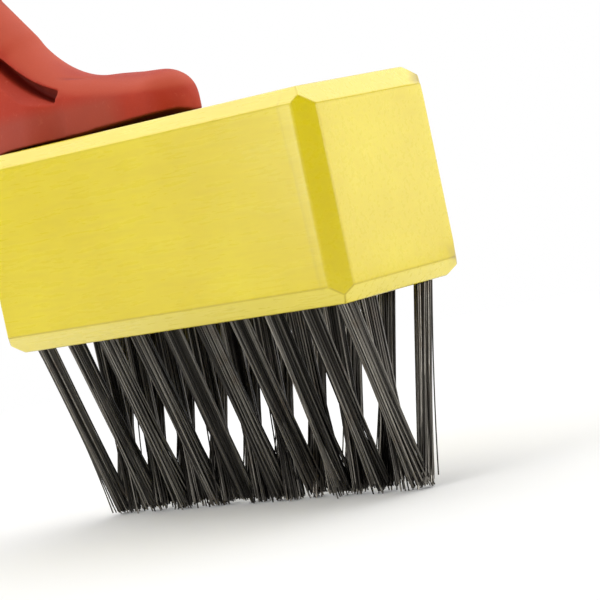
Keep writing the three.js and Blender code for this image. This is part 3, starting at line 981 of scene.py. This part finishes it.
def makeBracket():
    piece = spine()
    for part in (heel(), handleCatch()):
        combine(piece, part, "UNION")
    for tool in (pocket(1), pocket(-1), pilot(1), pilot(-1), belowBlockTop()):
        combine(piece, tool, "DIFFERENCE")
    remesh = piece.modifiers.new("moulded skin", "REMESH")
    remesh.mode = "VOXEL"
    remesh.voxel_size = bracket["voxel"] * mm
    soften = piece.modifiers.new("moulded edges", "SMOOTH")
    soften.factor = bracket["smoothShare"]
    soften.iterations = bracket["smoothing"]
    settle(piece)

    points = readPoints(piece)
    x = (points[:, 0] - blockMiddle) / mm
    y = points[:, 1] / mm
    z = (points[:, 2] - blockTop) / mm
    share = ramp(x, bracket["foldStart"], bracket["foldEnd"])
    inner, outer = bracket["foldReach"]
    beside = np.abs(y) - inner - (outer - inner) * share ** bracket["foldCurve"]
    fadeIn, fadeOut = bracket["foldFades"]
    fade = ramp(x, bracket["foldStart"], bracket["foldStart"] - fadeIn)
    fade *= ramp(x, bracket["foldEnd"], bracket["foldEnd"] + fadeOut) * ramp(z, *bracket["foldLevel"])
    swell = bracket["foldHeight"] * fade * bell(np.maximum(beside, 0), 0, bracket["foldWidth"])
    swell *= ramp(beside, *bracket["foldEdge"]) * ramp(share, *bracket["foldRise"])
    groove = bracket["foldGroove"] * fade * bell(beside, *bracket["groovePlace"])
    dip = bracket["toeDip"] * ramp(x, *bracket["dipAlong"]) * ramp(z, *bracket["dipLevel"])
    points[:, 1] += swell * np.clip(y / bracket["neckHalfWidth"], -1, 1) * mm
    points[:, 2] += (swell * bracket["foldRaise"] - groove - dip) * mm

    # The foot bears on the middle of its heel, and its rim stands a little off the block
    near = np.maximum(ramp(y, *bracket["liftAside"]), bracket["farLift"])
    rising = ramp(x, *bracket["liftAlong"]) * near
    rim = ramp(np.abs(y), *bracket["rimAside"]) * ramp(x, *bracket["rimAlong"])
    lift = bracket["toeLift"] * rising + bracket["edgeLift"] * np.maximum(rim, rising)
    points[:, 2] += lift * ramp(z, *bracket["liftLevel"]) * mm
    writePoints(piece, points)

    normals = np.zeros(len(points) * 3, np.float32)
    piece.data.vertex_normals.foreach_get("vector", normals)
    normals = normals.reshape(-1, 3)
    # painted highlight where the shoulders face up and outward
    level, upward = marks["shoulder"]
    shoulder = level * np.hypot(normals[:, 0], normals[:, 1]) + upward * normals[:, 2]
    below = np.hypot(x - crestMiddle[0], z - crestMiddle[1]) - bracket["crestRadius"]
    onNeck = x < bracket["crestStart"]
    shoulderHighlight = ramp(shoulder, *marks["highlightSlope"]) * ramp(z, *marks["highlightLevel"])
    setMask(piece, "scuffAndHighlight", shoulderHighlight * np.where(onNeck, ramp(below, *marks["highlightBelow"]), 1))
    # painted sheen on the foot's upright side walls
    wall = ramp(np.abs(normals[:, 1]), *marks["wallSheenSlope"]) * ramp(z, *marks["wallSheenLevel"])
    setMask(piece, "wallSheen", wall * ramp(x, *marks["wallSheenAlong"]))
    # painted shade in the fold's crease, on faces turned down near the block and inside the slot
    shadeMask = fade * bell(beside, *marks["creasePlace"])
    under = ramp(normals[:, 2], *marks["underSlope"]) * (z < marks["underLevel"])
    inSlot = ramp(np.abs(y), *marks["slotAside"]) * ramp(below, *marks["slotBelow"])
    inSlot *= onNeck * (below < marks["slotFloor"]) * ramp(x, *marks["slotAlong"]) * marks["slotShare"]
    setMask(piece, "shadeMask", np.maximum(np.maximum(shadeMask, under), inSlot))
    piece.name = "moulded_bracket"
    piece.data.shade_smooth()
    piece.data.materials.clear()
    piece.data.materials.append(plasticMaterial)
    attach(piece, "root")
    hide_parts("handle_bracket")
    return piece


bracketPiece = makeBracket()
print("bracket:", len(bracketPiece.data.polygons), "faces")


# Screws: cross-recessed heads up inside the block's counterbores, threaded points in the heel
screw = {
    "headHeight": 3.0,
    "headProfile": [       # radius and height
        (0.02, 0.0), (1.925, 0.05), (2.975, 0.35), (3.5, 1.1), (3.5, 2.7), (3.1, 3.0), (2.55, 3.02),
    ],
    "shankRadius": 2.25,
    "threadDepth": 0.45,
    "threadPitch": 1.8,
    "threadSteps": 8,      # rings to a turn
    "threadStart": 0.4,
    "ridge": 5.0,          # sharpness of the thread's ridge
    "point": 6.0,
    "pointEnd": 0.3,
    "pointShare": 0.05,
    "recessWidth": 1.0,
    "recessReach": 2.1,
    "recessDepth": 1.7,
    "recessTaper": (1.3, 0.55),
    "sides": 32,
}


# One arm of the cross in a screw's head, narrowing as it goes in
def recessArm(x, y, bottom, turn):
    along = Vector((math.cos(turn), math.sin(turn), 0))
    aside = Vector((-math.sin(turn), math.cos(turn), 0))
    reach, half = screw["recessReach"] * mm, screw["recessWidth"] / 2 * mm
    depth = screw["recessDepth"] * mm
    rings = []
    for up, share in zip((-depth, depth), screw["recessTaper"]):
        middle = Vector((x, y, bottom + up))
        rings.append([
            middle + along * (reach * share * i) + aside * (half * share * j)
            for i, j in ((-1, -1), (1, -1), (1, 1), (-1, 1))
        ])
    return loft("recess", rings)


def makeScrew(node, turnOffset):
    low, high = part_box(node)
    x, y = (low.x + high.x) / 2, (low.y + high.y) / 2
    length = (high.z - low.z) / mm
    rings = []
    turns = np.linspace(0, math.tau, screw["sides"], endpoint=False)
    for radius, up in screw["headProfile"]:
        radius, height = radius * mm, low.z + up * mm
        rings.append([(x + radius * math.cos(t), y + radius * math.sin(t), height) for t in turns])
    step = screw["threadPitch"] / screw["threadSteps"]
    for up in np.arange(screw["headHeight"] + screw["threadStart"], length - screw["pointEnd"], step):
        taper = min(1, max(screw["pointShare"], (length - up) / screw["point"]))
        ring = []
        for t in turns:
            phase = (up / screw["threadPitch"] - (t + turnOffset) / math.tau) % 1
            ridge = max(0, 1 - abs(phase - 0.5) * screw["ridge"])
            radius = (screw["shankRadius"] - screw["threadDepth"] * (1 - ridge)) * taper * mm
            ring.append((x + radius * math.cos(t), y + radius * math.sin(t), low.z + up * mm))
        rings.append(ring)
    piece = loft(node + "_threaded", rings)
    for turn in (turnOffset, turnOffset + math.pi / 2):
        combine(piece, recessArm(x, y, low.z, turn), "DIFFERENCE")
    shadeSmooth(piece, degrees=40)
    piece.data.materials.clear()
    piece.data.materials.append(zincMaterial)
    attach(piece, "root")
    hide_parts(node)


for node, turnOffset in (("front_screw", 0.4), ("back_screw", 1.9)):
    makeScrew(node, turnOffset)

# The wire anchors are right as they are, deep in their holes, and only take the zinc
for name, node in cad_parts.items():
    if "_anchor_" in name:
        node.data.materials.clear()
        node.data.materials.append(zincMaterial)
print("screws and anchors: zinc plated")


# Studio: a white sweep that keeps the shadow, soft panels all round, the camera's own side left dark
studio = {
    "away": (-0.685, 0.728),   # level direction from the camera to the brush
    "sweepFront": -3.0,
    "sweepBend": 1.7,
    "sweepRadius": 0.6,
    "sweepHeight": 2.2,
    "sweepHalfWidth": 5.0,
    "sweepSteps": 9,
    "paperRoughness": 0.9,
    "paperSpecular": 0.1,
    "floorColor": (0.79, 0.79, 0.79),
    "floorGlow": 0.06,
    "clearFrom": 0.13,         # distance from the brush at which the floor starts to turn plain white
    "clearTo": 0.6,
    "worldLight": 0.45,
    "darkLight": 0.03,
    "darkSide": (0.55, 0.85),  # how squarely a direction points at the camera where the dark begins
    "softBoxes": [
        # name, place, size, watts
        ("overheadBox", (-0.18, 0.30, 1.20), (2.0, 1.6), 17.5),
        ("upperLeftBox", (-0.45, -0.85, 1.10), (0.9, 0.7), 3.4),
        ("rightBox", (0.85, 0.90, 0.25), (1.2, 0.8), 6.6),
        ("leftFrontBox", (-0.53, -1.35, 0.37), (1.0, 0.7), 8.0),
        ("rightFrontBox", (1.45, -0.05, 0.27), (1.0, 0.5), 5.6),
        ("fillBox", (0.35, -1.35, 0.30), (0.7, 0.5), 0.8),
    ],
}


def makeSweep():
    outward = Vector((*studio["away"], 0))
    aside = Vector((outward.y, -outward.x, 0))
    bend, radius, steps = studio["sweepBend"], studio["sweepRadius"], studio["sweepSteps"]
    profile = [(run, 0) for run in np.linspace(studio["sweepFront"], bend, steps)]
    for turn in np.linspace(0, math.pi / 2, steps)[1:]:
        profile.append((bend + radius * math.sin(turn), radius * (1 - math.cos(turn))))
    profile.append((bend + radius, studio["sweepHeight"]))
    half = studio["sweepHalfWidth"]
    columns = np.linspace(-half, half, steps)
    points = [outward * run + aside * side + Vector((0, 0, up)) for run, up in profile for side in columns]
    faces = []
    for j in range(len(profile) - 1):
        for i in range(len(columns) - 1):
            a = j * len(columns) + i
            faces.append((a, a + 1, a + len(columns) + 1, a + len(columns)))
    sweep = newPiece("white_sweep", points, faces)
    sweep.data.shade_smooth()
    material, tree, shader = newMaterial("white_paper")
    shader.inputs["Base Color"].default_value = (*studio["floorColor"], 1)
    shader.inputs["Roughness"].default_value = studio["paperRoughness"]
    shader.inputs["Specular IOR Level"].default_value = studio["paperSpecular"]
    glow = addNode(tree, "Emission", {"Color": (1, 1, 1, 1)})
    plain = addNode(tree, "Emission", {"Color": (1, 1, 1, 1), "Strength": 1.0})
    path = addNode(tree, "LightPath")
    seen = mathNode(tree, "MAXIMUM", path.outputs["Is Camera Ray"], path.outputs["Is Glossy Ray"])
    seen = mathNode(tree, "MAXIMUM", seen, path.outputs["Is Transmission Ray"])
    tree.links.new(times(tree, seen, studio["floorGlow"]), glow.inputs["Strength"])
    lit = addNode(tree, "AddShader", {0: shader.outputs[0], 1: glow.outputs[0]})
    place = addNode(tree, "TexCoord").outputs["Object"]
    distance = addNode(tree, "VectorMath", {0: place}, operation="LENGTH").outputs["Value"]
    clear = times(tree, remap(tree, distance, studio["clearFrom"], studio["clearTo"]), seen)
    mixed = addNode(tree, "MixShader", {0: clear, 1: lit.outputs[0], 2: plain.outputs[0]})
    tree.links.new(mixed.outputs[0], tree.nodes["Material Output"].inputs["Surface"])
    sweep.data.materials.append(material)


def makeWorld():
    world = bpy.data.worlds.new("white_room")
    scene.world = world
    world.use_nodes = True
    tree = world.node_tree
    background = tree.nodes["Background"]
    background.inputs["Color"].default_value = (1, 1, 1, 1)
    outward = addNode(tree, "TexCoord").outputs["Generated"]
    back = (-studio["away"][0], -studio["away"][1], 0)
    toward = addNode(tree, "VectorMath", {0: outward, 1: back}, operation="DOT_PRODUCT").outputs["Value"]
    room = remap(tree, toward, *studio["darkSide"], studio["worldLight"], studio["darkLight"])
    tree.links.new(room, background.inputs["Strength"])


def makeLights():
    target = Vector((blockMiddle, 0, (underside + blockTop) / 2))
    for name, place, size, watts in studio["softBoxes"]:
        lamp = bpy.data.lights.new(name, "AREA")
        lamp.shape = "RECTANGLE"
        lamp.size, lamp.size_y = size
        lamp.energy = watts
        holder = addObject(name, lamp)
        holder.location = place
        holder.rotation_euler = (target - Vector(place)).to_track_quat("-Z", "Y").to_euler()


# Camera: rolled about 12 degrees, just below the block's top, in front of its right-hand corner
cameraPlace = {
    "fromBlockBottom": (0.57242, -0.57417, 0.04587),
    "right": (0.72069743, 0.66175691, -0.20657445),
    "up": (0.11293739, 0.18192385, 0.97680544),
    "back": (0.68398856, -0.72731115, 0.05637495),
    "lens": 153.594,
    "sensor": 36,
}


def makeCamera():
    data = bpy.data.cameras.new("camera")
    data.lens = cameraPlace["lens"]
    data.sensor_width = cameraPlace["sensor"]
    camera = addObject("camera", data)
    turn = Matrix((cameraPlace["right"], cameraPlace["up"], cameraPlace["back"])).transposed()
    start = Vector((blockMiddle, 0, underside)) + Vector(cameraPlace["fromBlockBottom"])
    camera.matrix_world = Matrix.Translation(start) @ turn.to_4x4()
    scene.camera = camera


makeSweep()
makeWorld()
makeLights()
makeCamera()
print("studio: sweep, world,", len(studio["softBoxes"]), "soft boxes, camera")

bpy.context.view_layer.update()
